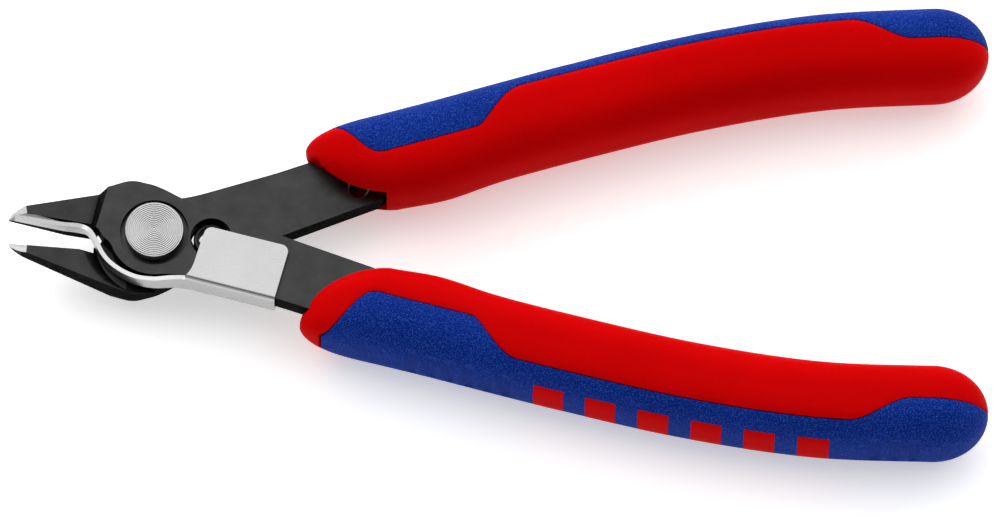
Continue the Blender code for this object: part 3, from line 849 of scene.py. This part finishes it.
def build_studio():
    """Surround that is bright behind and dark in front, a soft key and a pale floor."""
    world = bpy.data.worlds.new("studio")
    bpy.context.scene.world = world
    world.use_nodes = True
    tree = world.node_tree
    background = tree.nodes["Background"]
    direction = tree.nodes.new("ShaderNodeTexCoord").outputs["Generated"]
    split = tree.nodes.new("ShaderNodeSeparateXYZ")
    tree.links.new(direction, split.inputs[0])
    level = tree.nodes.new("ShaderNodeMapRange")
    level.inputs["From Min"].default_value = -1.0
    tree.links.new(split.outputs["Y"], level.inputs["Value"])
    ramp = tree.nodes.new("ShaderNodeValToRGB")
    ramp.color_ramp.interpolation = "EASE"
    elements = ramp.color_ramp.elements
    while len(elements) < len(WORLD_LIGHT):
        elements.new(0.5)
    for element, (position, grey) in zip(elements, WORLD_LIGHT):
        element.position = position
        element.color = (grey, grey, grey, 1.0)
    tree.links.new(level.outputs["Result"], ramp.inputs["Fac"])
    tree.links.new(ramp.outputs["Color"], background.inputs["Color"])
    background.inputs["Strength"].default_value = WORLD_STRENGTH

    lowest = CAD_BOUNDS[0][2]
    bm = bmesh.new()
    bmesh.ops.create_grid(bm, x_segments=1, y_segments=1, size=FLOOR_HALF_SIZE)
    bmesh.ops.translate(bm, vec=(0, 0, lowest), verts=bm.verts)
    mesh = bpy.data.meshes.new("floor")
    bm.to_mesh(mesh)
    bm.free()
    floor = bpy.data.objects.new("floor", mesh)
    bpy.context.collection.objects.link(floor)
    n = Nodes("pale_floor")
    n.surface(Base_Color=(0.93, 0.93, 0.935, 1.0), Roughness=0.9,
              Specular_IOR_Level=0.1, Emission_Color=(1.0, 1.0, 1.0, 1.0),
              Emission_Strength=0.42)
    mesh.materials.append(n.material)

    data = bpy.data.lights.new("key", "AREA")
    data.size = KEY_SIZE
    data.energy = KEY_POWER
    light = bpy.data.objects.new("key", data)
    light.location = KEY_PLACE
    aim = Vector(KEY_TARGET) - Vector(KEY_PLACE)
    light.rotation_euler = aim.to_track_quat("-Z", "Y").to_euler()
    bpy.context.collection.objects.link(light)


def build_camera():
    """Long lens looking down at the tool from the side of the front handle."""
    elevation, azimuth = math.radians(CAMERA_ELEVATION), math.radians(CAMERA_AZIMUTH)
    away = Vector((math.sin(azimuth) * math.cos(elevation),
                   -math.cos(azimuth) * math.cos(elevation), math.sin(elevation)))
    data = bpy.data.cameras.new("camera")
    data.lens = CAMERA_LENS
    data.sensor_width = 36.0
    data.clip_start = 0.5
    camera = bpy.data.objects.new("camera", data)
    camera.location = Vector(CAMERA_TARGET) + away * CAMERA_DISTANCE
    camera.rotation_euler = (-away).to_track_quat("-Z", "Y").to_euler()
    bpy.context.collection.objects.link(camera)
    bpy.context.scene.camera = camera


# ---------------------------------------------------------------- assembly

def place(piece, body, slot, node=None):
    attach(piece, body)
    if node:
        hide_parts(node)


def build_all():
    bpy.context.scene.view_settings.view_transform = "Standard"
    build_camera()
    black = burnished_black("burnished_black")
    bright = ground_steel("ground_steel")
    turned_face = turned_steel("turned_face")
    sheet = sheet_steel("satin_sheet")
    wire = spring_wire("spring_wire")
    red = hard_grip("hard_red")
    blue = soft_grip("soft_blue")

    place(build_lever("front_lever_finished", 1, black, bright), "front", "burnished_steel",
          "front_lever")
    place(build_lever("rear_lever_finished", -1, black, bright), "rear", "burnished_steel",
          "rear_lever")
    place(build_pivot_bolt(turned_face), "front", "turned_steel", "pivot_bolt")
    place(build_pivot_nut(black), "front", "burnished_steel", "pivot_nut")
    spring = build_spring(wire)
    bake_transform(spring)
    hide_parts("opening_spring")
    place(build_lead_catcher(sheet), "front", "sheet_steel", "lead_catcher")
    for body, side in (("front", -1), ("rear", 1)):
        place(build_grip_body(body + "_grip_body_finished", side, red), body, "hard_grip",
              body + "_grip_body")
        place(build_grip_pad(body + "_grip_pad_finished", side, blue), body, "soft_grip",
              body + "_grip_pad")
        place(build_pad_bars(body + "_pad_bars", side, red), body, "hard_grip")
    build_studio()


build_all()
